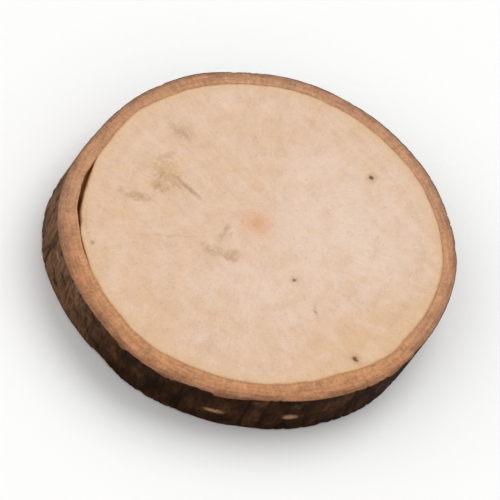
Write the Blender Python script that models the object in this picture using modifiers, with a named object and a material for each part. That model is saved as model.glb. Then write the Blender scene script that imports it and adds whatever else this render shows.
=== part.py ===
"""A slice sawn straight across a young branch, with its bark still on.

Metres, +Z up. The slice lies on its lower sawn face, the origin is the middle of its box at
the base, and its longer diameter lies along X.
"""

import math

import bmesh
import bpy

# Driving dimensions.
THICKNESS = 0.0068
MEAN_RADIUS = 0.0233

# How far the branch is from round, all the way up: (lobes, height, degrees to a lobe).
BRANCH_LOBES = (
    (2, 0.00074, 4.0),
    (3, 0.00017, 65.0),
    (4, 0.00003, 75.0),
    (5, 0.00009, 71.0),
    (6, 0.00011, 36.0),
    (9, 0.00005, 10.0),
    (14, 0.00003, 4.0),
)

# How the branch changes towards the base, where these have their full height. The single lobe
# moves the base aside, because the saw met the branch a little off square.
BASE_LOBES = (
    (1, 0.00085, 70.0),
    (3, 0.00050, 17.0),
)

# The bark's two sawn edges are slightly worn.
RIM_WEAR = 0.00025
RIM_SEGMENTS = 2
SHARP_ANGLE = math.radians(50.0)

# Fineness of the solid.
SIDE_SEGMENTS = 144
SIDE_CUTS = 5

WOOD_COLOUR = (0.79, 0.61, 0.445, 1.0)
WOOD_ROUGHNESS = 0.75


def clear_scene():
    """Remove every object that the scene opened with."""
    for obj in list(bpy.data.objects):
        bpy.data.objects.remove(obj, do_unlink=True)


def lobed_height(lobes, angle):
    """Sum of the lobes' heights at an angle round the branch."""
    return sum(height * math.cos(count * (angle - math.radians(peak))) for count, height, peak in lobes)


def branch_radius(angle, level):
    """Distance from the branch's middle to its bark, at a level from 0 (base) to 1 (top)."""
    return MEAN_RADIUS + lobed_height(BRANCH_LOBES, angle) + (1 - level) * lobed_height(BASE_LOBES, angle)


def branch_point(angle, level):
    """The point of the bark at an angle and a level."""
    radius = branch_radius(angle, level)
    return radius * math.cos(angle), radius * math.sin(angle), THICKNESS * level


def centre_on_base(mesh):
    """Move the mesh so that the middle of its box, at the base, is the origin."""
    for axis in (0, 1):
        places = [vertex.co[axis] for vertex in mesh.verts]
        middle = (min(places) + max(places)) / 2
        for vertex in mesh.verts:
            vertex.co[axis] -= middle


def slice_mesh():
    """A unit cylinder, ringed along its side and then shaped to the branch."""
    mesh = bmesh.new()
    bmesh.ops.create_cone(
        mesh, cap_ends=True, segments=SIDE_SEGMENTS, radius1=1.0, radius2=1.0, depth=1.0
    )
    upright_edges = [edge for edge in mesh.edges if edge.verts[0].co.z != edge.verts[1].co.z]
    bmesh.ops.subdivide_edges(mesh, edges=upright_edges, cuts=SIDE_CUTS, use_grid_fill=True)
    for vertex in mesh.verts:
        angle = math.atan2(vertex.co.y, vertex.co.x)
        vertex.co = branch_point(angle, vertex.co.z + 0.5)
    centre_on_base(mesh)
    data = bpy.data.meshes.new("wood_slice")
    mesh.to_mesh(data)
    mesh.free()
    return data


def sawn_wood():
    """Pale sawn wood."""
    material = bpy.data.materials.new("sawn_wood")
    material.use_nodes = True
    shader = material.node_tree.nodes["Principled BSDF"]
    shader.inputs["Base Color"].default_value = WOOD_COLOUR
    shader.inputs["Roughness"].default_value = WOOD_ROUGHNESS
    shader.inputs["Metallic"].default_value = 0.0
    return material


def build_slice(collection):
    """The slice as one object, with its worn rims and its material."""
    data = slice_mesh()
    data.materials.append(sawn_wood())
    data.shade_smooth()
    data.set_sharp_from_angle(angle=SHARP_ANGLE)
    wood_slice = bpy.data.objects.new("wood_slice", data)
    collection.objects.link(wood_slice)
    rims = wood_slice.modifiers.new("worn_rims", "BEVEL")
    rims.limit_method = "ANGLE"
    rims.angle_limit = SHARP_ANGLE
    rims.width = RIM_WEAR
    rims.segments = RIM_SEGMENTS


def main():
    """Build the slice in a collection of its own."""
    clear_scene()
    collection = bpy.data.collections.new("wood_slice")
    bpy.context.scene.collection.children.link(collection)
    build_slice(collection)


main()
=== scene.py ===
"""Looks of a wood slice: a thin round sawn across a young branch, pale wood inside a ring of dark bark.

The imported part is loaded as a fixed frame. Its one solid is stood for by one closed mesh, as a branch grows
in one piece: it starts at the pith of the upper sawn face, runs out over the wood and the cut bark, down the
bark's outside and back in over the lower sawn face. All relief is cut into the solid, so nothing stands out
of its box. Lengths in the classes are millimetres, and turns are degrees from +X, unless a name says other.
"""

import logging
import math
from collections.abc import Callable, Iterator
from dataclasses import dataclass, field, replace
from enum import Enum, IntEnum

import bpy
from mathutils import Matrix, Vector, noise
from mathutils.bvhtree import BVHTree


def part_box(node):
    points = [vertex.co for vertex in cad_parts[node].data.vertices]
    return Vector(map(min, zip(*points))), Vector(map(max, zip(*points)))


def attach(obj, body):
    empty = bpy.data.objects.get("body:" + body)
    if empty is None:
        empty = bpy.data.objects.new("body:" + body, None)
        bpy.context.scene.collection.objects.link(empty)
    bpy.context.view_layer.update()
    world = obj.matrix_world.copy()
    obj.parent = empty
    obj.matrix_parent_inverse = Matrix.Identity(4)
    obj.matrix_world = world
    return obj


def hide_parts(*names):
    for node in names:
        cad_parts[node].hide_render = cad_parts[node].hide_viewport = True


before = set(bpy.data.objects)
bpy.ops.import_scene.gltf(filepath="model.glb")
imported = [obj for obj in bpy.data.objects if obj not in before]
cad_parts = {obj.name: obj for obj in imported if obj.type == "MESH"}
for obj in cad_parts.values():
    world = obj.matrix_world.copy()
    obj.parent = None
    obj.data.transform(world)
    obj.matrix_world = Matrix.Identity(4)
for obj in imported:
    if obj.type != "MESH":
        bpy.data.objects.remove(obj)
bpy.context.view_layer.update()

LOG = logging.getLogger("wood_slice")
NODE = "wood_slice"
BODY = "root"
MM = 0.001
# Patterns that follow the rays or the rings are laid out on a branch with about this radius of wood.
WOOD_RADIUS = 21.0
# Growth rises by 1 across the bark whatever its width, which is taken as that of its thicker half.
BARK_WIDTH = 2.35

Tree = bpy.types.NodeTree
Socket = bpy.types.NodeSocket
Colour = tuple[float, float, float, float]
Corner = tuple[float, float]
Patterns = dict[str, Socket]
Layer = tuple[Socket, float, str]


def linear(hex_colour: str) -> Colour:
    """Turns an sRGB colour to linear light.

    Args:
        hex_colour: the colour as "#RRGGBB".

    Returns:
        Linear red, green and blue, and an alpha of 1.
    """
    channels = [int(hex_colour[i : i + 2], 16) / 255 for i in (1, 3, 5)]
    return (*(c / 12.92 if c <= 0.04045 else ((c + 0.055) / 1.055) ** 2.4 for c in channels), 1.0)


def ease(value: float, low: float, high: float) -> float:
    """Rises smoothly from 0 where value is low to 1 where it is high."""
    t = min(max((value - low) / (high - low), 0.0), 1.0)
    return t * t * (3.0 - 2.0 * t)


def lumps(place: Vector, size: float, stretch: float = 1.0) -> float:
    """Smooth noise with lumps of one size.

    Args:
        place: a point.
        size: how far apart the lumps are.
        stretch: how many times longer they are along the branch.

    Returns:
        About -1 to 1.
    """
    return noise.noise(Vector((place.x / size, place.y / size, place.z / size / stretch)))


@dataclass(frozen=True)
class Swell:
    """Smooth unevenness with lumps of one size, which may be stretched along the branch."""

    size: float
    height: float
    stretch: float = 1.0

    def at(self, place: Vector) -> float:
        """How high it is at a point."""
        return self.height * lumps(place, self.size, self.stretch)


def unevenness(place: Vector, swells: tuple[Swell, ...]) -> float:
    """What several swells add up to at a point."""
    return sum(swell.at(place) for swell in swells)


def turn_between(a: float, b: float) -> float:
    """The turn from b to a, from -180 to 180 degrees."""
    return (a - b + 180.0) % 360.0 - 180.0


class Side(Enum):
    """One of the two sawn faces, by where it lies across the thickness."""

    UPPER = 1.0
    LOWER = 0.0

    @property
    def sign(self) -> float:
        """Which way along Z the face looks."""
        return 1.0 if self is Side.UPPER else -1.0


class Finish(IntEnum):
    """The mesh's finishes, in the order of its slots."""

    UPPER_WOOD = 0
    LOWER_WOOD = 1
    BARK = 2


@dataclass(frozen=True)
class Fleck:
    """An oval mark: a pin knot, a smudge, a stroke or a patch of another tint."""

    x: float
    y: float
    length: float
    width: float
    turn: float = 0.0
    strength: float = 1.0


@dataclass(frozen=True)
class Cleft:
    """A stretch where the drying bark has come away from the wood."""

    turn: float
    reach: float
    gap: float
    depth: float


@dataclass(frozen=True)
class Marks:
    """What sets one sawn face apart: its marks, its clefts, which way it was sawn, and its share of noise."""

    pins: tuple[Fleck, ...]
    smudges: tuple[Fleck, ...]
    strokes: tuple[Fleck, ...]
    blushes: tuple[Fleck, ...]
    straws: tuple[Fleck, ...]
    clefts: tuple[Cleft, ...]
    saw_turn: float
    seed: float = 0.0


@dataclass(frozen=True)
class Dip:
    """A gentle dip in a size that runs round the branch; a rise has a negative depth."""

    turn: float
    reach: float
    depth: float

    def at(self, turn: float) -> float:
        """How deep it is in one direction from the pith."""
        away = turn_between(turn, self.turn) / self.reach
        return self.depth * math.exp(-away * away)


@dataclass(frozen=True)
class Lenticel:
    """A breathing pore of the bark: a corky lens lying round the branch; an old one is split along it."""

    turn: float
    height: float
    length: float
    width: float
    pale: float = 1.0
    split: float = 0.0


@dataclass
class Spot:
    """One point of the surface, with what its finish needs to know."""

    place: Vector
    growth: float = 0.0
    depth: float = 0.0
    cleft: float = 0.0
    lenticel: float = 0.0
    hollow: float = 0.0


FACTS = {
    "growth": "from 0 at the pith to 1 at the edge of the wood and 2 at the outside of the bark",
    "depth": "millimetres below the bark's outside, where a saw or a knock has laid the bark open",
    "cleft": "1 deep in the gap between wood and bark",
    "lenticel": "1 on a pale lenticel",
    "hollow": "1 at the bottom of a crack in the bark's skin",
}


@dataclass
class BranchOutline:
    """The branch's outline, read from the CAD solid along rays from the axis of its pith."""

    solid: bpy.types.Object
    thickness: float
    pith: Corner = (0.28, 1.39)
    columns: int = 576
    levels: tuple[float, float] = (0.1, 0.9)
    directions: list[Vector] = field(init=False)
    reaches: list[list[float]] = field(init=False)

    def __post_init__(self) -> None:
        """Casts the rays at both levels."""
        step = 2.0 * math.pi / self.columns
        self.directions = [Vector((math.cos(i * step), math.sin(i * step), 0.0)) for i in range(self.columns)]
        mesh = self.solid.data
        tree = BVHTree.FromPolygons([v.co for v in mesh.vertices], [p.vertices for p in mesh.polygons])
        self.reaches = [self._reach(tree, level) for level in self.levels]

    def _reach(self, tree: BVHTree, level: float) -> list[float]:
        """Distances from the pith's axis to the outside at one level.

        Args:
            tree: the CAD solid's faces.
            level: 0 on the lower face to 1 on the upper.

        Returns:
            A distance for each column, in millimetres.
        """
        start = Vector((*self.pith, level * self.thickness)) * MM
        hits = [tree.ray_cast(start, direction)[3] / MM for direction in self.directions]
        return [(hits[i - 1] + hits[i] + hits[(i + 1) % self.columns]) / 3.0 for i in range(self.columns)]

    def turn(self, column: int) -> float:
        """A column's direction, in degrees."""
        return 360.0 * column / self.columns

    def radius(self, column: int, level: float) -> float:
        """Distance from the pith's axis to the bark's outside.

        Args:
            column: which ray.
            level: 0 on the lower face to 1 on the upper.

        Returns:
            The distance, in millimetres.
        """
        low, high = (reach[column] for reach in self.reaches)
        return low + (high - low) * (level - self.levels[0]) / (self.levels[1] - self.levels[0])

    def at(self, column: int, radius: float, height: float) -> Vector:
        """The point at a radius from the pith's axis, in one column's direction."""
        return Vector((*self.pith, height)) + self.directions[column] * radius

    def circle(self, column: int, radius: float, height: float) -> Vector:
        """A point of a true circle, where noise that runs round the branch is looked up."""
        return self.directions[column] * radius + Vector((0.0, 0.0, height))


@dataclass(frozen=True)
class BakeSheet:
    """Where each side of the slice lies on the square that its textures are baked on.

    The upper face has a disc of its own at the finest scale, the lower face a smaller one, and the bark's
    outside runs in rows one above the other.
    """

    side: float = 1024.0
    upper_middle: Corner = (316.0, 316.0)
    upper_scale: float = 12.3
    lower_middle: Corner = (828.0, 196.0)
    lower_scale: float = 7.5
    rows: int = 3
    row_left: float = 4.0
    row_length: float = 1016.0
    row_bottom: float = 638.0
    row_pitch: float = 129.0
    row_height: float = 123.0

    def disc(self, side: Side, direction: Vector, radius: float) -> Corner:
        """A point of a sawn face; the lower face is turned over, so neither is mirrored.

        Args:
            side: which sawn face.
            direction: where the point lies from the pith, as a unit vector.
            radius: how far out it lies, in millimetres.

        Returns:
            Its place on the sheet.
        """
        middle, scale = self.upper_middle, self.upper_scale
        if side is Side.LOWER:
            middle, scale = self.lower_middle, self.lower_scale
        u = middle[0] + side.sign * direction.x * radius * scale
        v = middle[1] + direction.y * radius * scale
        return u / self.side, v / self.side

    def strip(self, face_share: float, share: float, drop: float) -> Corner:
        """A point of the bark's outside.

        Args:
            face_share: how far round the branch its face starts, from 0 to 1, which picks the row.
            share: how far round the branch the point is.
            drop: how far down the bark it is, from 0 to 1.

        Returns:
            Its place on the sheet.
        """
        row = int(face_share * self.rows + 1e-6)
        u = self.row_left + (share * self.rows - row) * self.row_length
        v = self.row_bottom + row * self.row_pitch + (1.0 - drop) * self.row_height
        return u / self.side, v / self.side


@dataclass
class Ring:
    """A closed row of spots round the branch, and the finish of the faces between it and the row before."""

    spots: list[Spot]
    chart: Callable[[int, int], Corner]
    finish: Finish
    first: int = 0


@dataclass
class Loft:
    """Joins rings into one skin. Each ring has as many spots as the one before it, or half or twice them."""

    columns: int
    spots: list[Spot] = field(default_factory=list)
    faces: list[tuple[int, ...]] = field(default_factory=list)
    corners: list[Corner] = field(default_factory=list)
    finishes: list[Finish] = field(default_factory=list)
    last: Ring | None = None

    def add(self, ring: Ring) -> None:
        """Adds a ring and the faces that join it to the one before.

        Args:
            ring: the ring.
        """
        ring.first = len(self.spots)
        self.spots.extend(ring.spots)
        if self.last is not None:
            self._join(self.last, ring)
        self.last = ring

    def _join(self, a: Ring, b: Ring) -> None:
        """Fills the band between two rings, cell by cell.

        Args:
            a: the ring before.
            b: the ring just added, which gives the band its finish.
        """
        counts = len(a.spots), len(b.spots)
        span = self.columns // (max(counts) if min(counts) == 1 else min(counts))
        for left in range(0, self.columns, span):
            columns = (left, left + span // 2, left + span)
            a_left, a_middle, a_right = ((a, column) for column in columns)
            b_left, b_middle, b_right = ((b, column) for column in columns)
            if counts[0] == 1:
                cell = [(a_left, b_left, b_right)]
            elif counts[1] == 1:
                cell = [(a_left, b_left, a_right)]
            elif counts[0] == counts[1]:
                cell = [(a_left, b_left, b_right, a_right)]
            elif counts[0] < counts[1]:
                cell = [(a_left, b_left, b_middle), (a_left, b_middle, a_right), (b_middle, b_right, a_right)]
            else:
                cell = [(a_left, b_left, a_middle), (a_middle, b_left, b_right), (a_middle, b_right, a_right)]
            for corners in cell:
                self._face(corners, left, b.finish)

    def _face(self, corners: tuple[tuple[Ring, int], ...], column: int, finish: Finish) -> None:
        """Adds one face.

        Args:
            corners: its corners, each a ring and a column.
            column: where its cell starts, for its place on the bake sheet.
            finish: its finish.
        """
        numbers = []
        for ring, corner in corners:
            step = self.columns // len(ring.spots)
            numbers.append(ring.first + corner // step % len(ring.spots))
            self.corners.append(ring.chart(column, corner))
        self.faces.append(tuple(numbers))
        self.finishes.append(finish)

    def mesh(self, name: str) -> bpy.types.Mesh:
        """Makes the mesh, with each spot's facts as attributes and its place on the bake sheet.

        Args:
            name: the mesh's name.

        Returns:
            The mesh.
        """
        mesh = bpy.data.meshes.new(name)
        mesh.from_pydata([spot.place * MM for spot in self.spots], [], self.faces)
        mesh.polygons.foreach_set("material_index", self.finishes)
        for fact in FACTS:
            layer = mesh.attributes.new(fact, "FLOAT", "POINT")
            layer.data.foreach_set("value", [getattr(spot, fact) for spot in self.spots])
        sheet = mesh.uv_layers.new(name="OFBake")
        sheet.data.foreach_set("uv", [value for corner in self.corners for value in corner])
        mesh.shade_smooth()
        mesh.set_sharp_from_angle(angle=math.radians(60.0))
        mesh.update()
        return mesh


@dataclass
class BarkSkin:
    """The bark's outside: corky skin with shallow cracks along the branch, lenticels and knocked edges.

    Two lenticels are listed, and the rest are spread by a rule, none within bare_reach of those two.
    """

    outline: BranchOutline
    radius: float = 23.6
    skin_depth: float = 0.05
    swells: tuple[Swell, ...] = (Swell(4.0, 0.035, 1.5), Swell(0.9, 0.024, 2.0), Swell(0.45, 0.016))
    crack_size: float = 1.55
    crack_stretch: float = 5.5
    crack_depth: float = 0.12
    clearance: float = 0.015
    rings: int = 26
    dips: tuple[Dip, ...] = (Dip(134.0, 11.0, 0.34),)
    saw_exit: float = 228.0
    lenticels: tuple[Lenticel, ...] = (
        Lenticel(236.0, 2.8, 2.6, 0.9, 0.92),
        Lenticel(257.3, 3.1, 2.0, 1.1, 0.92),
    )
    lenticel_rise: float = 0.05
    split_depth: float = 0.09
    more_lenticels: int = 30
    bare_reach: float = 36.0
    strides: tuple[float, ...] = (0.618, 0.755, 0.570, 0.437)

    def __post_init__(self) -> None:
        """Spreads the rest of the lenticels; each of their sizes changes by a stride that's out of step."""
        more = []
        for i in range(self.more_lenticels):
            around, up, long, pale = ((i * stride + 0.3) % 1.0 for stride in self.strides)
            turn = 360.0 * around
            height = self.outline.thickness * (0.14 + 0.72 * up)
            length = 0.5 + 1.6 * long**1.8
            split = 1.0 if i % 4 == 0 else 0.0
            away = min(abs(turn_between(turn, shown.turn)) for shown in self.lenticels)
            if away > self.bare_reach:
                more.append(Lenticel(turn, height, length, 0.32 + 0.2 * length, 0.15 + 0.4 * pale, split))
        self.lenticels += tuple(more)

    def lenticel(self, turn: float, place: Vector) -> tuple[float, float, float]:
        """How far a point is up on a lenticel, how pale it is and how far it's in its split.

        Args:
            turn: degrees round the branch.
            place: the point.

        Returns:
            Three shares, from 0 to 1.
        """
        for pore in self.lenticels:
            along = math.radians(abs(turn_between(turn, pore.turn))) * self.radius
            across = abs(place.z - pore.height)
            reach = math.hypot(along / pore.length * 2.0, across / pore.width * 2.0)
            reach += 0.28 * lumps(place, 0.5)
            if reach < 1.3:
                split = 1.0 - ease(across, 0.03, 0.2)
                split *= 1.0 - ease(along, pore.length * 0.2, pore.length * 0.4)
                up = 1.0 - ease(reach, 0.4, 1.15)
                return up, up * pore.pale, split * pore.split
        return 0.0, 0.0, 0.0

    def relief(self, column: int, height: float) -> tuple[float, Spot]:
        """How far the skin lies inside the solid, and its facts.

        Args:
            column: which ray of the outline.
            height: above the lower face.

        Returns:
            The distance, and a spot on the solid's surface that holds the facts.
        """
        turn = self.outline.turn(column)
        place = self.outline.at(column, self.outline.radius(column, height / self.outline.thickness), height)
        pore, pale, split = self.lenticel(turn, place)
        # Cracks run where stretched noise crosses zero, but only in some patches and not through a lenticel.
        crack = 1.0 - 2.2 * abs(lumps(place, self.crack_size, self.crack_stretch))
        crack = ease(crack, 0.62, 1.0) * ease(lumps(place, 5.0, 1.6), -0.25, 0.35) * (1.0 - pore)
        depth = self.skin_depth + unevenness(place, self.swells) * (1.0 - 0.6 * pore)
        depth += self.crack_depth * crack + self.split_depth * split - self.lenticel_rise * pore
        depth += sum(dip.at(turn) for dip in self.dips)
        spot = Spot(place, growth=2.0, lenticel=pale, hollow=max(crack, split))
        return max(depth, self.clearance), spot

    def spot(self, column: int, height: float, worn: float = 0.0) -> Spot:
        """A spot of the skin.

        Args:
            column: which ray of the outline.
            height: above the lower face.
            worn: how much is worn off the skin there.

        Returns:
            The spot, with its facts.
        """
        inset, spot = self.relief(column, height)
        radius = self.outline.radius(column, height / self.outline.thickness) - inset - worn
        spot.place = self.outline.at(column, radius, height)
        return spot

    def knock(self, column: int, side: Side) -> float:
        """How much of the skin's edge is chipped off: most where the saw came out.

        Args:
            column: which ray of the outline.
            side: at which sawn face.

        Returns:
            A share, from 0 to 1.
        """
        edge = self.outline.circle(column, self.radius, 40.0 * side.value)
        scallops = ease(lumps(edge, 2.3), 0.15, 0.45)
        away = abs(turn_between(self.outline.turn(column), self.saw_exit))
        return scallops * (1.0 - 0.85 * ease(away, 55.0, 100.0)) * ease(lumps(edge, 11.0), -0.45, 0.1)

    def corner(self, column: int, side: Side) -> tuple[float, float]:
        """How far in and how far down the skin's edge is worn, where the saw left it."""
        knock = self.knock(column, side)
        return 0.04 + 0.3 * knock, 0.05 + 0.5 * knock


@dataclass
class SawnFace:
    """One sawn face: wood out to the cambium, a hairline or a cleft there, and the cut bark round it."""

    outline: BranchOutline
    skin: BarkSkin
    sheet: BakeSheet
    side: Side
    marks: Marks
    wood_rings: int
    bark_rings: int
    wall_rings: int = 4
    bark_width: float = 2.10
    bark_swell: float = 0.64
    bark_swell_turn: float = 197.0
    bark_swells: tuple[Swell, ...] = (Swell(5.0, 0.16), Swell(1.7, 0.07))
    bark_dips: tuple[Dip, ...] = (
        Dip(18.0, 45.0, -0.25),
        Dip(114.0, 14.0, 0.62),
        Dip(145.0, 9.0, 0.16),
        Dip(172.0, 12.0, -0.2),
        Dip(245.0, 10.0, 0.2),
        Dip(275.0, 13.0, -0.42),
    )
    bark_drop: float = 0.13
    bark_grit: tuple[Swell, ...] = (Swell(0.8, 0.022), Swell(0.42, 0.016))
    ragged: tuple[Swell, ...] = (Swell(0.9, 0.22), Swell(0.4, 0.15))
    saw_pitch: float = 0.95
    saw_depth: float = 0.012
    wood_swells: tuple[Swell, ...] = (Swell(9.0, 0.02), Swell(0.7, 0.006))
    pin_depth: float = 0.12
    pith_depth: float = 0.10
    wood_lip: float = 0.03
    clearance: float = 0.02
    sheet_step: float = 0.05

    def height(self, relief: float) -> float:
        """Height above the lower face of a point that lies relief inside this sawn face."""
        face = self.outline.thickness * self.side.value
        return face - self.side.sign * (self.clearance + max(relief, 0.0))

    def wood_radius(self, column: int) -> float:
        """Distance from the pith's axis to the cambium.

        Args:
            column: which ray of the outline.

        Returns:
            The distance, in millimetres.
        """
        turn = self.outline.turn(column)
        width = self.bark_width + self.bark_swell * math.cos(math.radians(turn - self.bark_swell_turn))
        width += unevenness(self.outline.circle(column, 22.0, self.marks.seed), self.bark_swells)
        width -= sum(dip.at(turn) for dip in self.bark_dips)
        return self.outline.radius(column, self.side.value) - width

    def cambium(self, column: int) -> tuple[float, float]:
        """The gap between wood and bark: a hairline, but for the clefts.

        Args:
            column: which ray of the outline.

        Returns:
            Its width and its depth, in millimetres.
        """
        edge = self.outline.circle(column, WOOD_RADIUS, 7.0 + self.marks.seed)
        gap = 0.03 + 0.02 * lumps(edge, 2.0)
        depth = 0.03 + 0.04 * ease(lumps(edge, 3.2), -0.1, 0.4)
        for cleft in self.marks.clefts:
            away = abs(turn_between(self.outline.turn(column), cleft.turn))
            share = 1.0 - ease(away / cleft.reach, 0.15, 1.0)
            gap += cleft.gap * share * (1.0 + unevenness(edge, self.ragged))
            depth += cleft.depth * min(share * 1.6, 1.0)
        return gap, depth

    def wood_relief(self, place: Vector) -> float:
        """How far the sawn wood lies below the face's plane: saw lines, swells, and dished pins and pith.

        Args:
            place: a point of the face.

        Returns:
            The depth, in millimetres.
        """
        saw = math.radians(self.marks.saw_turn)
        across = place.x * math.sin(saw) - place.y * math.cos(saw)
        level = Vector((place.x, place.y, self.marks.seed))
        lines = 1.0 + math.sin(2.0 * math.pi * across / self.saw_pitch + 0.5 * lumps(level, 6.0))
        relief = self.saw_depth * lines * (0.5 + 0.5 * ease(lumps(level, 8.0), -0.3, 0.3))
        relief += sum(swell.height + swell.at(level) for swell in self.wood_swells)
        for pin in self.marks.pins:
            away = math.hypot(place.x - pin.x, place.y - pin.y)
            relief += self.pin_depth * pin.strength * (1.0 - ease(away, 0.15, 0.55))
        away = math.hypot(place.x - self.outline.pith[0], place.y - self.outline.pith[1])
        return relief + self.pith_depth * (1.0 - ease(away, 0.1, 0.75))

    def bark_relief(self, place: Vector, share: float) -> float:
        """How far the soft cut bark has worn below the face's plane: least by the wood, most by the skin.

        Args:
            place: a point of the face.
            share: how far out it lies, from 0 at the wood to 1 at the skin.

        Returns:
            The depth, in millimetres.
        """
        level = Vector((place.x, place.y, self.marks.seed + 3.0))
        short = 0.05 * (1.0 - ease(share, 0.0, 0.3)) + 0.03 * (1.0 - share)
        return self.bark_drop - short + unevenness(level, self.bark_grit)

    def wood_spot(self, column: int, share: float) -> tuple[Spot, float]:
        """A spot of the wood.

        Args:
            column: which ray of the outline.
            share: how far out it is, from 0 at the pith to 1 at the gap.

        Returns:
            The spot and its radius on the bake sheet.
        """
        radius = share * (self.wood_radius(column) - self.cambium(column)[0] / 2.0)
        place = self.outline.at(column, radius, 0.0)
        place.z = self.height(self.wood_relief(place) + self.wood_lip * ease(share, 0.985, 1.0))
        return Spot(place, growth=share), radius

    def gap_spot(self, column: int, wall: float, down: float, spread: float) -> tuple[Spot, float]:
        """A spot on a wall of the gap between wood and bark.

        Args:
            column: which ray of the outline.
            wall: -1 on the wood's side of the gap and 1 on the bark's.
            down: how far down the gap it is, from 0 to 1.
            spread: how far outside the wood it lies on the bake sheet.

        Returns:
            The spot and its radius on the bake sheet.
        """
        gap, depth = self.cambium(column)
        edge = self.wood_radius(column)
        radius = edge + wall * gap / 2.0 * (1.0 - 0.8 * down)
        place = self.outline.at(column, radius, 0.0)
        place.z = self.height(self.wood_relief(place) + self.wood_lip + depth * down)
        inside = self.outline.radius(column, self.side.value) - radius
        # Deeper in the gap the finishes paint it darker: partly a real stain of the old cambium, partly
        # painted shade.
        cleft = ease(depth * down, 0.02, 0.7)
        return Spot(place, growth=1.0 + 0.02 * wall, depth=inside, cleft=cleft), edge + spread

    def bark_spot(self, column: int, share: float, spread: float) -> tuple[Spot, float]:
        """A spot of the cut bark.

        Args:
            column: which ray of the outline.
            share: how far out it is, from 0 at the gap to 1 at the skin.
            spread: how far outside itself it lies on the bake sheet, to make room for the gap's walls.

        Returns:
            The spot and its radius on the bake sheet.
        """
        rim = self.outline.radius(column, self.side.value)
        inset, skin = self.skin.relief(column, self.outline.thickness * self.side.value)
        edge = self.wood_radius(column)
        start = edge + self.cambium(column)[0] / 2.0
        radius = start + (rim - inset - self.skin.corner(column, self.side)[0] - start) * share
        place = self.outline.at(column, radius, 0.0)
        place.z = self.height(self.bark_relief(place, share))
        growth = 1.0 + (radius - edge) / (rim - edge)
        hollow = skin.hollow * share**6
        return Spot(place, growth=growth, depth=rim - inset - radius, hollow=hollow), radius + spread

    def ring(self, points: list[tuple[Spot, float]], finish: Finish) -> Ring:
        """A ring of this face.

        Args:
            points: its spots, each with its radius on the bake sheet.
            finish: the finish of the band inside it or, on the lower face, outside it.

        Returns:
            The ring.
        """
        spots, radii = zip(*points)
        step = self.outline.columns // len(spots)

        def chart(column: int, corner: int) -> Corner:
            """Place on the bake sheet of the spot in one column."""
            wrapped = corner % self.outline.columns
            return self.sheet.disc(self.side, self.outline.directions[wrapped], radii[wrapped // step])

        return Ring(list(spots), chart, finish)

    def rings(self, wood: Finish) -> Iterator[Ring]:
        """All the rings of this face from the pith outwards; small ones have fewer spots.

        Args:
            wood: the finish of this face's wood.

        Yields:
            Each ring.
        """
        columns = range(self.outline.columns)
        yield self.ring([self.wood_spot(0, 0.0)], wood)
        for number in range(1, self.wood_rings + 1):
            share = number / self.wood_rings
            step = 1 if share >= 0.5 else 2 if share >= 0.25 else 4 if share >= 0.125 else 8
            yield self.ring([self.wood_spot(column, share) for column in columns[::step]], wood)
        downs = [number / self.wall_rings for number in range(1, self.wall_rings + 1)]
        walls = [(-1.0, down, wood) for down in downs] + [(1.0, down, Finish.BARK) for down in downs[::-1]]
        for number, (wall, down, finish) in enumerate(walls, 1):
            spread = number * self.sheet_step
            yield self.ring([self.gap_spot(column, wall, down, spread) for column in columns], finish)
        spread = (len(walls) + 1) * self.sheet_step
        for number in range(self.bark_rings + 1):
            share = number / self.bark_rings
            yield self.ring([self.bark_spot(column, share, spread) for column in columns], Finish.BARK)


def add_node(
    tree: Tree, kind: str, values: dict | None = None, out: int | str = 0, **settings: object
) -> Socket:
    """Adds one shader node.

    Args:
        tree: the node tree to add it to.
        kind: the node's type without its ShaderNode.
        values: what goes in each input, by its name or number: a socket to link, or a constant.
        out: the output to return, by its name or number.
        settings: the node's own settings.

    Returns:
        That output, or the first input of a node that has no output.
    """
    node = tree.nodes.new("ShaderNode" + kind)
    for name, setting in settings.items():
        setattr(node, name, setting)
    for name, value in (values or {}).items():
        if isinstance(value, Socket):
            tree.links.new(value, node.inputs[name])
        else:
            node.inputs[name].default_value = value
    return node.outputs[out] if node.outputs else node.inputs[0]


def weigh(tree: Tree, parts: list[tuple[Socket, float]], start: float = 0.0) -> Socket:
    """Adds up patterns, each by its share.

    Args:
        tree: the node tree.
        parts: each pattern and its share.
        start: what to start from.

    Returns:
        The sum.
    """
    total: Socket | float = start
    for pattern, share in parts:
        total = add_node(tree, "Math", {0: pattern, 1: share, 2: total}, operation="MULTIPLY_ADD")
    return total


def step_mask(tree: Tree, value: Socket, low: float, high: float) -> Socket:
    """A mask that rises smoothly from 0 where value is low to 1 where it is high.

    Args:
        tree: the node tree.
        value: what is masked by.
        low: the value where the mask is 0.
        high: the value where it is 1, which may be the smaller one.

    Returns:
        The mask.
    """
    numbers = {"Value": value, "From Min": low, "From Max": high}
    if low > high:
        numbers |= {"From Min": high, "From Max": low, "To Min": 1.0, "To Max": 0.0}
    return add_node(tree, "MapRange", numbers, interpolation_type="SMOOTHSTEP")


def fleck_mask(tree: Tree, place: Socket, fleck: Fleck, soft: float) -> Socket:
    """A mask of one mark on a sawn face.

    Args:
        tree: the node tree.
        place: the point shaded, in millimetres.
        fleck: the mark.
        soft: the share of its half-width over which it fades.

    Returns:
        The mark's strength inside it and 0 outside.
    """
    shift = add_node(tree, "VectorMath", {0: place, 1: (fleck.x, fleck.y, 0.0)}, operation="SUBTRACT")
    angle = -math.radians(fleck.turn)
    turned = add_node(tree, "VectorRotate", {"Vector": shift, "Angle": angle}, rotation_type="Z_AXIS")
    scale = (2.0 / fleck.length, 2.0 / fleck.width, 0.0)
    shrunk = add_node(tree, "VectorMath", {0: turned, 1: scale}, operation="MULTIPLY")
    reach = add_node(tree, "VectorMath", {0: shrunk}, out="Value", operation="LENGTH")
    inside = step_mask(tree, reach, 1.0 + soft, 1.0 - soft)
    return add_node(tree, "Math", {0: inside, 1: fleck.strength}, operation="MULTIPLY")


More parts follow.
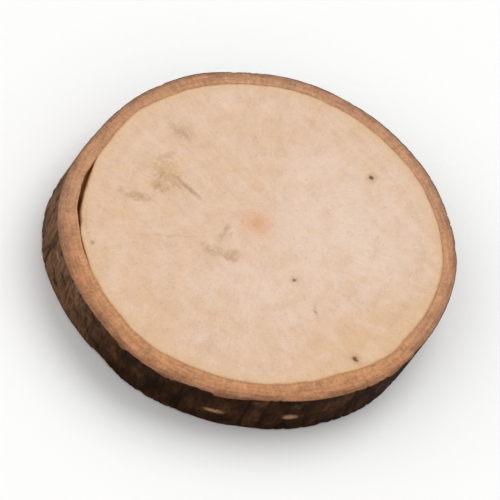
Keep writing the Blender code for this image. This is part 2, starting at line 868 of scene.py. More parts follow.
def fleck_masks(tree: Tree, place: Socket, flecks: tuple[Fleck, ...], soft: float) -> Socket:
    """One mask for several marks, as strong at each point as the strongest of them.

    Args:
        tree: the node tree.
        place: the point shaded, in millimetres.
        flecks: the marks.
        soft: the share of its half-width over which each fades.

    Returns:
        The mask.
    """
    total: Socket | float = 0.0
    for fleck in flecks:
        mask = fleck_mask(tree, place, fleck, soft)
        total = add_node(tree, "Math", {0: mask, 1: total}, operation="MAXIMUM")
    return total


def in_millimetres(tree: Tree) -> Socket:
    """The point shaded, in millimetres of the row frame."""
    place = add_node(tree, "TexCoord", out="Object")
    return add_node(tree, "VectorMath", {0: place, "Scale": 1.0 / MM}, operation="SCALE")


def attribute(tree: Tree, fact: str) -> Socket:
    """One of the facts that the mesh carries for its finishes."""
    return add_node(tree, "Attribute", out="Fac", attribute_name=fact)


def polar(
    tree: Tree,
    place: Socket,
    pith: Corner,
    growth: Socket,
    around: float,
    out: float,
    across: float = WOOD_RADIUS,
) -> Socket:
    """A place for patterns that follow the rays or the rings.

    Args:
        tree: the node tree.
        place: the point shaded, in millimetres.
        pith: where the branch's axis is.
        growth: how far out the point is, which rises by 1 over the wood and by 1 over the bark.
        around: how long a millimetre round the wood's edge is in the pattern.
        out: how long a millimetre outwards is in it.
        across: how many millimetres growth takes to rise by 1.

    Returns:
        The place: round the branch in X and Y, and outwards in Z.
    """
    spoke = add_node(tree, "VectorMath", {0: place, 1: (*pith, 0.0)}, operation="SUBTRACT")
    spoke = add_node(tree, "VectorMath", {0: spoke, 1: (1.0, 1.0, 0.0)}, operation="MULTIPLY")
    spoke = add_node(tree, "VectorMath", {0: spoke}, operation="NORMALIZE")
    spoke = add_node(tree, "VectorMath", {0: spoke, "Scale": WOOD_RADIUS * around}, operation="SCALE")
    outward = add_node(tree, "Math", {0: growth, 1: across * out}, operation="MULTIPLY")
    outward = add_node(tree, "CombineXYZ", {"Z": outward})
    return add_node(tree, "VectorMath", {0: spoke, 1: outward}, operation="ADD")


def tint(tree: Tree, colour: Socket | Colour, layers: list[Layer]) -> Socket:
    """Lays colours over a colour, each through its mask.

    Args:
        tree: the node tree.
        colour: the colour to start from.
        layers: each layer's mask, its share where the mask is 1, and its colour as sRGB hex.

    Returns:
        The colour that shows.
    """
    for mask, share, layer in layers:
        strength = add_node(tree, "Math", {0: mask, 1: share}, operation="MULTIPLY")
        mix = {0: strength, 6: colour, 7: linear(layer)}
        colour = add_node(tree, "Mix", mix, out=2, data_type="RGBA")
    return colour


def shade(tree: Tree, colour: Socket, lift: float, parts: list[tuple[Socket, float]]) -> Socket:
    """Darkens a colour by patterns.

    Args:
        tree: the node tree.
        colour: the colour.
        lift: the share that it is brightened by first, so that its mean stays about the same.
        parts: each pattern and its share.

    Returns:
        The colour that shows.
    """
    factor = weigh(tree, parts, start=1.0 + lift)
    return add_node(tree, "VectorMath", {0: colour, "Scale": factor}, operation="SCALE")


def fresh_material(name: str) -> bpy.types.Material:
    """A material with an empty node tree.

    Args:
        name: the material's name.

    Returns:
        The material.
    """
    material = bpy.data.materials.new(name)
    material.use_nodes = True
    material.node_tree.nodes.clear()
    return material


def finish_surface(tree: Tree, height: Socket, strength: float, values: dict) -> None:
    """Ends a material.

    Args:
        tree: its node tree.
        height: its fine relief, in millimetres.
        strength: how much of that relief shows.
        values: what else goes in the shader's inputs.
    """
    normal = add_node(tree, "Bump", {"Height": height, "Distance": MM, "Strength": strength})
    surface = add_node(tree, "BsdfPrincipled", values | {"Normal": normal})
    add_node(tree, "OutputMaterial", {"Surface": surface})


@dataclass(frozen=True)
class SawnEndGrain:
    """End grain of a pale, fine-pored hardwood such as alder, cut by a fine circular saw and air dried.

    Its pores are too small to tell apart, so the eye sees an even, matt, creamy face, a little pink in one
    part and straw-yellow in another, with faint yearly rings, rays that fan out from a small orange pith, and
    hairline saw scores. A pin knot is a dark dot with a tan halo.
    """

    name: str
    pith: Corner
    marks: Marks
    cream_colour: str = "#DAB89C"
    blush_colour: str = "#E0C5B0"
    straw_colour: str = "#D6AE83"
    pith_colour: str = "#DA9B70"
    smudge_colour: str = "#A0763F"
    stroke_colour: str = "#85603A"
    pin_colour: str = "#54381F"
    halo_colour: str = "#BB8F62"
    stain_colour: str = "#C08E62"
    # Partly a real stain of the old cambium and partly painted shade, laid deep in the gap by the wood.
    cleft_stain_and_shade_colour: str = "#8A4E20"
    rings: float = 8.0
    roughness: float = 0.66
    ior: float = 1.5

    def grain(self, tree: Tree, place: Socket, growth: Socket) -> Patterns:
        """Builds what runs all over the sawn wood.

        Args:
            tree: the node tree.
            place: the point shaded, in millimetres.
            growth: how far out it is.

        Returns:
            Each pattern by its name.
        """
        # Lumps 9 mm, 1.6 mm and 0.35 mm across, so that the face isn't one even colour at any distance.
        broad = add_node(tree, "TexNoise", {"Vector": place, "Scale": 0.11, "Detail": 2.0})
        mottle = add_node(tree, "TexNoise", {"Vector": place, "Scale": 0.62, "Detail": 3.0, "Roughness": 0.6})
        fine = add_node(tree, "TexNoise", {"Vector": place, "Scale": 2.9, "Detail": 3.0, "Roughness": 0.65})
        # Lumps 2.2 mm across, where the wood is a little pinker or yellower.
        warmth = {"Vector": place, "Scale": 0.45, "Detail": 3.0, "W": 3.0, "Roughness": 0.6}
        warmth = add_node(tree, "TexNoise", warmth, noise_dimensions="4D")

        # Eight years of growth: each ring darkens slowly through its latewood and ends in a crisp edge.
        age = weigh(tree, [(growth, self.rings), (broad, 1.1), (mottle, 0.25)])
        year = add_node(tree, "Math", {0: age}, operation="FRACT")
        latewood = step_mask(tree, year, 0.45, 0.93)
        for mask in (step_mask(tree, year, 1.0, 0.95), step_mask(tree, warmth, 0.42, 0.62)):
            latewood = add_node(tree, "Math", {0: latewood, 1: mask}, operation="MULTIPLY")

        # Rays fan out from the pith, 0.5 mm apart at the bark, and change slowly along their length.
        rays = polar(tree, place, self.pith, growth, 2.0, 0.6)
        rays = add_node(tree, "TexNoise", {"Vector": rays, "Scale": 1.0, "Detail": 2.0})

        # Pores are 0.05 mm in the real wood; they are drawn 0.1 mm across, so that they show at all.
        pores = add_node(tree, "TexVoronoi", {"Vector": place, "Scale": 2.9}, out="Distance")
        pores = step_mask(tree, pores, 0.26, 0.08)
        pores = add_node(tree, "Math", {0: pores, 1: mottle}, operation="MULTIPLY")
        # The saw leaves a fuzz of fibres, 0.15 mm across.
        fuzz = add_node(tree, "TexNoise", {"Vector": place, "Scale": 6.5, "Detail": 2.0, "Roughness": 0.6})

        # Saw scores, 0.3 to 1 mm apart and as good as straight.
        angle = -math.radians(self.marks.saw_turn)
        scores = add_node(tree, "VectorRotate", {"Vector": place, "Angle": angle}, rotation_type="Z_AXIS")
        scores = add_node(tree, "VectorMath", {0: scores, 1: (0.05, 1.3, 1.0)}, operation="MULTIPLY")
        scores = {"Vector": scores, "Scale": 1.0, "Detail": 3.0, "Roughness": 0.6}
        scores = add_node(tree, "TexNoise", scores)
        lumpy = {"mottle": mottle, "fine": fine, "warmth": warmth}
        return lumpy | {"latewood": latewood, "rays": rays, "pores": pores, "fuzz": fuzz, "scores": scores}

    def masks(self, tree: Tree, place: Socket, growth: Socket, grain: Patterns) -> Patterns:
        """Builds where the wood is marked or tinted.

        Args:
            tree: the node tree.
            place: the point shaded, in millimetres.
            growth: how far out it is.
            grain: the patterns of the wood.

        Returns:
            Each mask by its name.
        """
        # Marks have ragged outlines: their places are shifted by up to 0.5 mm, in lumps of 1.2 mm.
        shift = add_node(tree, "TexNoise", {"Vector": place, "Scale": 0.85, "Detail": 3.0}, out="Color")
        shift = add_node(tree, "VectorMath", {0: shift, 1: (0.5, 0.5, 0.5)}, operation="SUBTRACT")
        far = add_node(tree, "VectorMath", {0: shift, "Scale": 2.4}, operation="SCALE")
        ragged = add_node(tree, "VectorMath", {0: place, 1: far}, operation="ADD")
        near = add_node(tree, "VectorMath", {0: shift, "Scale": 0.9}, operation="SCALE")
        wavy = add_node(tree, "VectorMath", {0: place, 1: near}, operation="ADD")

        # Smudges are torn up by the fine lumps, and strokes are only worn by them.
        torn = step_mask(tree, grain["fine"], 0.25, 0.6)
        worn = weigh(tree, [(torn, 0.5)], start=0.5)
        smudges = fleck_masks(tree, ragged, self.marks.smudges, 0.7)
        strokes = fleck_masks(tree, wavy, self.marks.strokes, 0.8)
        halos = tuple(replace(pin, length=pin.length * 2.3, width=pin.width * 1.9) for pin in self.marks.pins)
        last_year = weigh(tree, [(growth, 1.0), (grain["mottle"], 0.04)], start=-0.02)
        return {
            "blush": fleck_masks(tree, ragged, self.marks.blushes, 0.75),
            "straw": fleck_masks(tree, ragged, self.marks.straws, 0.75),
            "pink": step_mask(tree, grain["warmth"], 0.52, 0.34),
            "yellow": step_mask(tree, grain["warmth"], 0.48, 0.66),
            "last_year": step_mask(tree, last_year, 0.90, 1.0),
            "pith": fleck_mask(tree, wavy, Fleck(self.pith[0] + 0.2, self.pith[1], 3.3, 3.0), 0.8),
            "core": fleck_mask(tree, wavy, Fleck(*self.pith, 0.9, 1.2), 0.6),
            "smudges": add_node(tree, "Math", {0: smudges, 1: torn}, operation="MULTIPLY"),
            "strokes": add_node(tree, "Math", {0: strokes, 1: worn}, operation="MULTIPLY"),
            "halos": fleck_masks(tree, wavy, halos, 0.7),
            "pins": fleck_masks(tree, wavy, self.marks.pins, 0.45),
            "stain": step_mask(tree, growth, 0.985, 1.0),
        }

    def material(self) -> bpy.types.Material:
        """Builds the finish.

        Returns:
            The material.
        """
        material = fresh_material(self.name)
        tree = material.node_tree
        place = in_millimetres(tree)
        growth = attribute(tree, "growth")
        grain = self.grain(tree, place, growth)
        masks = self.masks(tree, place, growth, grain)
        layers = [
            (masks["blush"], 0.85, self.blush_colour),
            (masks["straw"], 0.6, self.straw_colour),
            (masks["pink"], 0.4, self.blush_colour),
            (masks["yellow"], 0.28, self.straw_colour),
            (masks["last_year"], 0.55, self.straw_colour),
            (masks["pith"], 0.65, self.pith_colour),
            (masks["core"], 0.2, self.halo_colour),
            (masks["smudges"], 0.48, self.smudge_colour),
            (masks["strokes"], 0.5, self.stroke_colour),
            (masks["halos"], 0.6, self.halo_colour),
            (masks["pins"], 0.9, self.pin_colour),
            (masks["stain"], 0.6, self.stain_colour),
        ]
        colour = tint(tree, linear(self.cream_colour), layers)
        shares = {"latewood": -0.055, "rays": -0.13, "pores": -0.24, "scores": -0.10}
        shares |= {"mottle": -0.10, "fine": -0.13, "fuzz": -0.20}
        colour = shade(tree, colour, 0.31, [(grain[name], share) for name, share in shares.items()])
        # Deep in the gap between wood and bark the wood is painted darker: partly a real stain, partly
        # painted shade.
        colour = tint(tree, colour, [(attribute(tree, "cleft"), 1.0, self.cleft_stain_and_shade_colour)])

        roughness = [(grain["fine"], 0.18), (grain["latewood"], -0.06)]
        roughness = weigh(tree, roughness, start=self.roughness - 0.08)
        shares = {"fine": 0.03, "fuzz": 0.02, "pores": -0.05, "scores": 0.05, "rays": 0.015}
        relief = [(grain[name], share) for name, share in shares.items()]
        relief = weigh(tree, [*relief, (masks["pins"], -0.08)])
        finish_surface(tree, relief, 0.8, {"Base Color": colour, "Roughness": roughness, "IOR": self.ior})
        return material


@dataclass(frozen=True)
class BranchBark:
    """Bark of a young hardwood branch: cut across by the saw on the faces, worn by the weather outside.

    The cut shows the soft inner bark in fine layers crossed by rays: pale tan by the wood, then orange-brown,
    then greyer towards a thin dark rind of cork, and paler all through where the air has dried it most. The
    outside is that cork: matt, almost black and blotched with brown, with painted light that makes one side
    lighter, finely wrinkled along the branch, darker at the bottom of its cracks, and with pale lenticels.
    """

    name: str
    pith: Corner
    # Painted light: the patch of bark painted lighter, as if light fell on that side.
    painted_lit_side: Fleck
    aired: tuple[Fleck, ...]
    cambium_colour: str = "#B98455"
    bast_colour: str = "#C48F69"
    inner_colour: str = "#BB8560"
    cortex_colour: str = "#8A6149"
    rind_colour: str = "#563826"
    cork_colour: str = "#371F0F"
    dark_cork_colour: str = "#1D1007"
    pale_cork_colour: str = "#64422A"
    # Painted light: the lighter brown painted on the bark's lit side.
    painted_lit_colour: str = "#835F45"
    lichen_colour: str = "#866F57"
    lenticel_colour: str = "#B58F6C"
    # The darker colour painted at the bottom of cracks and lenticel splits.
    crack_bottom_colour: str = "#150C06"
    aired_colour: str = "#B8957C"
    # Partly a real stain of the old cambium and partly painted shade, laid deep in the gap by the bark.
    cleft_stain_and_shade_colour: str = "#7A451F"
    rind: float = 0.05
    roughness: float = 0.8
    gloss: float = 0.05

    def patterns(self, tree: Tree, place: Socket) -> Patterns:
        """Builds what the cut bark and the cork have in common.

        Args:
            tree: the node tree.
            place: the point shaded, in millimetres.

        Returns:
            Each pattern by its name.
        """
        # Blotches are 2.4 mm across and grit is 0.4 mm.
        blotches = {"Vector": place, "Scale": 0.42, "Detail": 4.0, "Roughness": 0.6}
        grit = {"Vector": place, "Scale": 2.6, "Detail": 4.0, "Roughness": 0.7}
        # Wrinkles run along the branch: 0.35 mm apart, six times as long.
        stretched = add_node(tree, "VectorMath", {0: place, 1: (1.0, 1.0, 0.17)}, operation="MULTIPLY")
        wrinkles = {"Vector": stretched, "Scale": 2.6, "Detail": 3.0}
        # Stone cells of the inner bark clump in grains of 0.3 mm.
        grains = {"Vector": place, "Scale": 3.1}
        return {
            "blotches": add_node(tree, "TexNoise", blotches),
            "grit": add_node(tree, "TexNoise", grit),
            "wrinkles": add_node(tree, "TexNoise", wrinkles),
            "grains": add_node(tree, "TexVoronoi", grains, out="Distance"),
            # Painted light: the mask of the side where the bark is painted lighter, as if lit.
            "painted_lit_side": fleck_mask(tree, place, self.painted_lit_side, 0.5),
        }

    def cut(self, tree: Tree, place: Socket, patterns: Patterns) -> Socket:
        """Builds the colour of the cut bark.

        Args:
            tree: the node tree.
            place: the point shaded, in millimetres.
            patterns: the patterns of the bark.

        Returns:
            The colour.
        """
        growth = attribute(tree, "growth")
        # Rays are 0.4 mm apart. The bark's layers are 0.3 mm thick and run round the branch.
        rays = polar(tree, place, self.pith, growth, 2.4, 0.8, BARK_WIDTH)
        rays = add_node(tree, "TexNoise", {"Vector": rays, "Scale": 1.0, "Detail": 2.0})
        seams = polar(tree, place, self.pith, growth, 0.35, 3.4, BARK_WIDTH)
        seams = add_node(tree, "TexNoise", {"Vector": seams, "Scale": 1.0, "Detail": 3.0, "Roughness": 0.6})
        blotches, grit = patterns["blotches"], patterns["grit"]
        outward = weigh(tree, [(growth, 1.0), (blotches, 0.3), (seams, 0.35), (grit, 0.12)], start=-0.385)
        layers = [
            (step_mask(tree, outward, 1.0, 1.12), 1.0, self.bast_colour),
            (step_mask(tree, outward, 1.15, 1.45), 1.0, self.inner_colour),
            (step_mask(tree, outward, 1.45, 2.0), 1.0, self.cortex_colour),
            (fleck_masks(tree, place, self.aired, 0.5), 0.35, self.aired_colour),
        ]
        colour = tint(tree, linear(self.cambium_colour), layers)
        shares = [(patterns["grains"], -0.25), (grit, -0.4), (blotches, -0.55), (rays, -0.5), (seams, -0.75)]
        colour = shade(tree, colour, 1.175, shares)
        # Deep in the gap the cut bark is painted darker: partly a real stain, partly painted shade.
        return tint(tree, colour, [(attribute(tree, "cleft"), 1.0, self.cleft_stain_and_shade_colour)])

    def cork(self, tree: Tree, place: Socket, patterns: Patterns) -> Socket:
        """Builds the colour of the corky outside.

        Args:
            tree: the node tree.
            place: the point shaded, in millimetres.
            patterns: the patterns of the bark.

        Returns:
            The colour.
        """
        # Lichen grows in patches 4 mm across.
        lichen = {"Vector": place, "Scale": 0.23, "Detail": 5.0, "Roughness": 0.65}
        lichen = add_node(tree, "TexNoise", lichen)
        blotches, grit = patterns["blotches"], patterns["grit"]
        lenticel = {0: attribute(tree, "lenticel"), 1: step_mask(tree, grit, 0.26, 0.52)}
        lenticel = add_node(tree, "Math", lenticel, operation="MULTIPLY")
        layers = [
            (step_mask(tree, blotches, 0.48, 0.68), 0.5, self.pale_cork_colour),
            # Painted light: the cork is painted lighter on its lit side.
            (patterns["painted_lit_side"], 0.7, self.painted_lit_colour),
            (step_mask(tree, blotches, 0.48, 0.34), 0.75, self.dark_cork_colour),
            (step_mask(tree, lichen, 0.62, 0.70), 0.35, self.lichen_colour),
            (step_mask(tree, patterns["wrinkles"], 0.56, 0.40), 0.45, self.dark_cork_colour),
            (lenticel, 0.9, self.lenticel_colour),
            # Darker at the bottom of cracks and lenticel splits.
            (attribute(tree, "hollow"), 0.8, self.crack_bottom_colour),
        ]
        return shade(tree, tint(tree, linear(self.cork_colour), layers), 0.5, [(grit, -1.0)])

    def material(self) -> bpy.types.Material:
        """Builds the finish.

        Returns:
            The material.
        """
        material = fresh_material(self.name)
        tree = material.node_tree
        place = in_millimetres(tree)
        patterns = self.patterns(tree, place)

        # The rind is laid open where its edge is cut or chipped: first dark, then the cortex behind it.
        depth = attribute(tree, "depth")
        ragged = [(depth, 1.0), (patterns["grit"], 0.2), (patterns["blotches"], 0.12)]
        open_bark = step_mask(tree, weigh(tree, ragged, start=-0.16), self.rind, self.rind + 0.08)
        skin = step_mask(tree, depth, 0.035, 0.01)
        # Painted light: the rind is painted lighter on the lit side too.
        rind = tint(tree, linear(self.rind_colour), [(patterns["painted_lit_side"], 0.6, self.painted_lit_colour)])
        edge = {0: skin, 6: rind, 7: self.cork(tree, place, patterns)}
        edge = add_node(tree, "Mix", edge, out=2, data_type="RGBA")
        colour = {0: open_bark, 6: edge, 7: self.cut(tree, place, patterns)}
        colour = add_node(tree, "Mix", colour, out=2, data_type="RGBA")

        roughness = [(patterns["grit"], 0.2), (patterns["wrinkles"], 0.1)]
        roughness = weigh(tree, roughness, start=self.roughness - 0.15)
        shares = {"grit": 0.07, "grains": 0.04, "wrinkles": 0.05, "blotches": 0.05}
        relief = weigh(tree, [(patterns[name], share) for name, share in shares.items()])
        values = {"Base Color": colour, "Roughness": roughness, "Specular IOR Level": self.gloss}
        finish_surface(tree, relief, 0.9, values)
        return material


@dataclass(frozen=True)
class PaperSweep:
    """Matt white paper for the studio floor: smooth, with no gloss, so it takes only soft shadows."""

    name: str = "paper_sweep"
    colour: str = "#F5F5F4"
    roughness: float = 0.95

    def material(self) -> bpy.types.Material:
        """Builds the finish.

        Returns:
            The material.
        """
        material = fresh_material(self.name)
        tree = material.node_tree
        # Paper fibres clump in lumps of 1.2 mm, which barely show.
        fibres = add_node(tree, "TexNoise", {"Vector": in_millimetres(tree), "Scale": 0.8, "Detail": 2.0})
        finish_surface(tree, fibres, 0.05, {"Base Color": linear(self.colour), "Roughness": self.roughness})
        return material


UPPER_MARKS = Marks(
    pins=(
        Fleck(16.57, 3.68, 0.62, 0.52),
        Fleck(1.43, -6.88, 0.42, 0.42, strength=0.75),
        Fleck(4.14, -18.74, 0.55, 0.8, turn=20.0),
        Fleck(-19.75, 4.07, 0.45, 0.4, strength=0.45),
        Fleck(2.19, -11.50, 0.35, 0.35, strength=0.3),
    ),
    smudges=(
        Fleck(-3.3, 15.5, 3.2, 1.8, turn=-50.0, strength=0.6),
        Fleck(-7.52, 10.63, 2.6, 3.6, turn=20.0, strength=0.75),
        Fleck(-8.82, 9.23, 2.2, 1.2, turn=-30.0, strength=1.0),
        Fleck(-6.62, 12.63, 3.4, 1.0, turn=25.0, strength=0.7),
        Fleck(-12.22, 8.83, 4.2, 1.1, turn=-32.0, strength=0.9),
        Fleck(-6.4, -0.6, 3.4, 1.3, turn=-40.0, strength=0.75),
        Fleck(-4.0, 1.2, 2.2, 1.3, turn=35.0, strength=0.6),
        Fleck(-4.5, -2.0, 2.2, 1.4, turn=-35.0, strength=0.95),
        Fleck(7.18, 9.83, 1.6, 1.2, strength=0.35),
        Fleck(12.58, 12.43, 1.2, 1.8, strength=0.4),
        Fleck(-12.22, -12.57, 2.6, 1.6, turn=40.0, strength=0.35),
        Fleck(-19.32, 7.03, 4.5, 0.8, turn=73.0, strength=0.6),
    ),
    strokes=(
        Fleck(-3.22, 15.33, 2.2, 1.1, turn=-50.0, strength=0.4),
        Fleck(-5.62, 8.03, 3.6, 0.55, turn=115.0, strength=1.1),
        Fleck(-6.72, 8.63, 2.2, 0.35, turn=118.0, strength=0.5),
        Fleck(-8.42, 10.03, 2.8, 0.4, turn=48.0, strength=0.5),
        Fleck(-12.02, 8.73, 3.8, 0.4, turn=-32.0, strength=0.3),
        Fleck(-3.92, 1.23, 2.4, 0.6, turn=35.0, strength=0.55),
        Fleck(-5.62, -1.37, 3.4, 0.45, turn=-42.0, strength=0.35),
        Fleck(-10.62, 2.63, 6.0, 0.35, turn=-18.0, strength=0.35),
        Fleck(2.18, -11.57, 2.2, 0.4, turn=70.0, strength=0.4),
    ),
    blushes=(
        Fleck(9.5, -3.0, 19.0, 16.0, turn=25.0),
        Fleck(-2.0, -7.5, 13.0, 8.0, turn=-20.0, strength=0.7),
        Fleck(11.0, 5.5, 12.0, 8.0, strength=0.7),
    ),
    straws=(
        Fleck(5.5, -16.5, 19.0, 6.5, turn=12.0),
        Fleck(-17.5, -5.0, 5.0, 13.0, turn=15.0, strength=0.7),
        Fleck(-15.5, 7.0, 6.0, 8.0, turn=40.0, strength=0.5),
        Fleck(-7.5, 10.0, 5.5, 5.0, strength=0.9),
    ),
    clefts=(
        Cleft(149.0, 12.5, 0.66, 0.8),
        Cleft(161.0, 8.5, 0.46, 0.7),
        Cleft(174.0, 8.0, 0.16, 0.4),
    ),
    saw_turn=111.0,
)
LOWER_MARKS = Marks(
    pins=(
        Fleck(-9.4, -12.1, 0.6, 0.5),
        Fleck(11.2, 8.3, 0.45, 0.5, strength=0.8),
        Fleck(-4.1, 14.6, 0.4, 0.4, strength=0.5),
    ),
    smudges=(
        Fleck(7.5, -10.5, 5.0, 1.6, turn=25.0, strength=0.8),
        Fleck(-13.0, 3.5, 2.6, 1.8, strength=0.7),
        Fleck(3.5, 6.0, 2.0, 1.2, turn=60.0, strength=0.5),
    ),
    strokes=(
        Fleck(3.0, 11.5, 5.0, 0.3, turn=64.0, strength=0.6),
        Fleck(8.5, -9.6, 3.0, 0.25, turn=30.0, strength=0.5),
    ),
    blushes=(
        Fleck(-6.0, 4.0, 20.0, 16.0),
        Fleck(6.0, -4.0, 12.0, 9.0, strength=0.6),
    ),
    straws=(
        Fleck(9.0, 13.5, 16.0, 7.0, turn=-35.0),
        Fleck(-8.0, -15.0, 14.0, 5.0, turn=-20.0, strength=0.7),
    ),
    clefts=(
        Cleft(318.0, 8.0, 0.3, 0.6),
    ),
    saw_turn=64.0,
    seed=31.0,
)
# Painted light: the side of the bark that is painted lighter, where light fell.
PAINTED_LIT_SIDE = Fleck(-19.5, 10.5, 30.0, 20.0, turn=60.0)
AIRED_SIDES = (
    Fleck(19.0, 11.0, 48.0, 26.0, turn=120.0),
    Fleck(-10.0, 18.5, 44.0, 14.0, turn=30.0, strength=0.75),
    Fleck(18.0, -13.0, 20.0, 12.0, turn=54.0, strength=0.6),
)


@dataclass
class WoodSlice:
    """The slice: two sawn faces and the bark's outside, lofted into one closed mesh.

    Each of corner_steps is a share of how far in and of how far down the skin's edge is worn.
    """

    solid: bpy.types.Object
    outline: BranchOutline = field(init=False)
    skin: BarkSkin = field(init=False)
    upper: SawnFace = field(init=False)
    lower: SawnFace = field(init=False)
    sheet: BakeSheet = BakeSheet()
    corner_steps: tuple[Corner, ...] = ((1.0, 0.0), (0.55, 0.12), (0.2, 0.45))
    corner_strip: float = 0.05

    def __post_init__(self) -> None:
        """Reads the sizes from the frame; the upper face, which shows, is the finer mesh."""
        low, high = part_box(NODE)
        self.outline = BranchOutline(self.solid, (high.z - low.z) / MM)
        self.skin = BarkSkin(self.outline)
        shared = (self.outline, self.skin, self.sheet)
        self.upper = SawnFace(*shared, Side.UPPER, UPPER_MARKS, wood_rings=74, bark_rings=10)
        self.lower = SawnFace(*shared, Side.LOWER, LOWER_MARKS, wood_rings=40, bark_rings=6)

    def side_ring(self, spots: list[Spot], drop: float) -> Ring:
        """A ring of the bark's outside.

        Args:
            spots: its spots, a column each.
            drop: how far down the bark it lies on the bake sheet, from 0 to 1.

        Returns:
            The ring.
        """
        columns = self.outline.columns

        def chart(column: int, corner: int) -> Corner:
            """Place on the bake sheet of the spot in one column."""
            return self.sheet.strip(column / columns, corner / columns, drop)

        return Ring(spots, chart, Finish.BARK)

    def corner_ring(self, face: SawnFace, share_in: float, share_down: float) -> list[Spot]:
        """Spots on the worn corner between a sawn face and the bark's outside.

        Args:
            face: the sawn face.
            share_in: how far in from the skin they lie, as a share of what is worn off it.
            share_down: how far below the cut bark they lie, as a share of the corner's depth.

        Returns:
            A spot for each column.
        """
        spots = []
        for column in range(self.outline.columns):
            worn, down = self.skin.corner(column, face.side)
            spot = self.skin.spot(column, face.height(face.bark_drop + down * share_down), worn * share_in)
            spot.depth = worn * share_in + 0.35 * self.skin.knock(column, face.side) * (1.0 - share_down)
            spots.append(spot)
        return spots

    def side_spot(self, column: int, share: float) -> Spot:
        """A spot of the skin between its worn corners.

        Args:
            column: which ray of the outline.
            share: how far down it is, from 0 at the upper corner to 1 at the lower.

        Returns:
            The spot.
        """
        drops = [face.bark_drop + self.skin.corner(column, face.side)[1] for face in (self.upper, self.lower)]
        top, bottom = self.upper.height(drops[0]), self.lower.height(drops[1])
        return self.skin.spot(column, top + (bottom - top) * share)

    def bark_rings(self) -> Iterator[Ring]:
        """All the rings of the bark's outside from the top down, worn corners included.

        Yields:
            Each ring.
        """
        strip, steps = self.corner_strip, len(self.corner_steps)
        for number, shares in enumerate(self.corner_steps):
            yield self.side_ring(self.corner_ring(self.upper, *shares), strip * number / steps)
        for number in range(self.skin.rings + 1):
            share = number / self.skin.rings
            spots = [self.side_spot(column, share) for column in range(self.outline.columns)]
            yield self.side_ring(spots, strip + (1.0 - 2.0 * strip) * share)
        for number, shares in enumerate(reversed(self.corner_steps), 1):
            yield self.side_ring(self.corner_ring(self.lower, *shares), 1.0 - strip + strip * number / steps)

    def build(self) -> bpy.types.Object:
        """Lofts the slice, dresses it and puts it in the CAD solid's place.

        Returns:
            The finished piece.
        """
        loft = Loft(self.outline.columns)
        inward = reversed(list(self.lower.rings(Finish.LOWER_WOOD)))
        for ring in (*self.upper.rings(Finish.UPPER_WOOD), *self.bark_rings(), *inward):
            loft.add(ring)
        piece = bpy.data.objects.new("slice", loft.mesh("slice"))
        bpy.context.scene.collection.objects.link(piece)
        pith = self.outline.pith
        finishes = {
            Finish.UPPER_WOOD: SawnEndGrain("end_grain_upper", pith, UPPER_MARKS),
            Finish.LOWER_WOOD: SawnEndGrain("end_grain_lower", pith, LOWER_MARKS),
            Finish.BARK: BranchBark("branch_bark", pith, PAINTED_LIT_SIDE, AIRED_SIDES),
        }
        for finish in Finish:
            piece.data.materials.append(finishes[finish].material())
        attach(piece, BODY)
        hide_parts(NODE)
        return piece


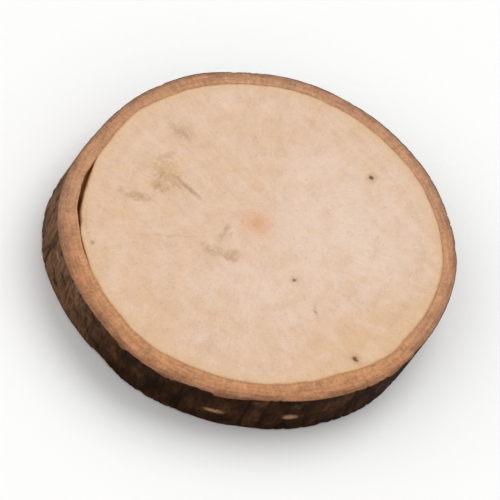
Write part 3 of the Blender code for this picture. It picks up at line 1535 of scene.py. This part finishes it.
@dataclass
class Studio:
    """A white paper floor, soft light from above and behind, and the camera.

    The camera aims aside of the slice's middle by so many millimetres.
    """

    target: Vector
    aside: Corner = (-0.22, 0.03)
    azimuth: float = -45.0
    elevation: float = 53.6
    roll: float = 25.0
    distance: float = 1.6
    view_width: float = 0.0578
    floor_size: float = 6.0

    def floor(self) -> bpy.types.Object:
        """Lays the floor that the slice rests on, which isn't part of it.

        Returns:
            The floor.
        """
        half = self.floor_size / 2.0
        mesh = bpy.data.meshes.new("floor")
        square = [(-half, -half, 0.0), (half, -half, 0.0), (half, half, 0.0), (-half, half, 0.0)]
        mesh.from_pydata(square, [], [(0, 1, 2, 3)])
        floor = bpy.data.objects.new("floor", mesh)
        bpy.context.scene.collection.objects.link(floor)
        mesh.materials.append(PaperSweep().material())
        return floor

    def towards(self, azimuth: float, elevation: float) -> Vector:
        """Unit vector from the target to a light or camera; azimuth 0 looks along +Y."""
        a, e = math.radians(azimuth), math.radians(elevation)
        return Vector((math.sin(a) * math.cos(e), -math.cos(a) * math.cos(e), math.sin(e)))

    def light(self, name: str, azimuth: float, elevation: float, breadth: float, power: float) -> None:
        """Adds one far, broad softbox, which lights the whole floor alike.

        Args:
            name: the lamp's name.
            azimuth: where it stands, in degrees.
            elevation: how high it stands, in degrees.
            breadth: how wide it looks from the slice, in degrees.
            power: in watts on a square metre that faces it.
        """
        data = bpy.data.lights.new(name, "SUN")
        data.angle = math.radians(breadth)
        data.energy = power
        lamp = bpy.data.objects.new(name, data)
        lamp.rotation_euler = self.towards(azimuth, elevation).to_track_quat("Z", "Y").to_euler()
        bpy.context.scene.collection.objects.link(lamp)

    def lights(self) -> None:
        """A broad lamp behind and above, a weaker one on the left, and an even white sky."""
        self.light("key", self.azimuth + 160.0, elevation=58.0, breadth=50.0, power=1.3)
        self.light("side", self.azimuth - 70.0, elevation=38.0, breadth=60.0, power=0.5)
        world = bpy.data.worlds.new("sky")
        world.use_nodes = True
        world.node_tree.nodes.clear()
        sky = add_node(world.node_tree, "Background", {"Color": linear("#FFFFFF"), "Strength": 0.64})
        add_node(world.node_tree, "OutputWorld", {"Surface": sky})
        bpy.context.scene.world = world

    def camera(self) -> bpy.types.Object:
        """Sets up a camera far off, with a long lens, so that the view is close to parallel.

        Returns:
            The camera.
        """
        data = bpy.data.cameras.new("camera")
        data.lens = data.sensor_width * self.distance / self.view_width
        data.clip_start = 0.01
        data.clip_end = 20.0
        camera = bpy.data.objects.new("camera", data)
        back = self.towards(self.azimuth, self.elevation)
        camera.location = self.target + Vector((*self.aside, 0.0)) * MM + back * self.distance
        level = back.to_track_quat("Z", "Y").to_matrix().to_4x4()
        spin = Matrix.Rotation(math.radians(self.roll), 4, "Z")
        camera.rotation_euler = (level @ spin).to_euler()
        bpy.context.scene.collection.objects.link(camera)
        bpy.context.scene.camera = camera
        return camera

    def build(self) -> None:
        """Sets up the whole studio."""
        self.floor()
        self.lights()
        self.camera()
        bpy.context.scene.view_settings.view_transform = "Standard"


def main() -> None:
    """Builds the slice and the studio round it."""
    logging.basicConfig(level=logging.INFO, format="%(name)s: %(message)s")
    piece = WoodSlice(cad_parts[NODE]).build()
    LOG.info("%s: %d faces", piece.name, len(piece.data.polygons))
    low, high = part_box(NODE)
    Studio((low + high) / 2.0).build()


if __name__ == "__main__":
    main()
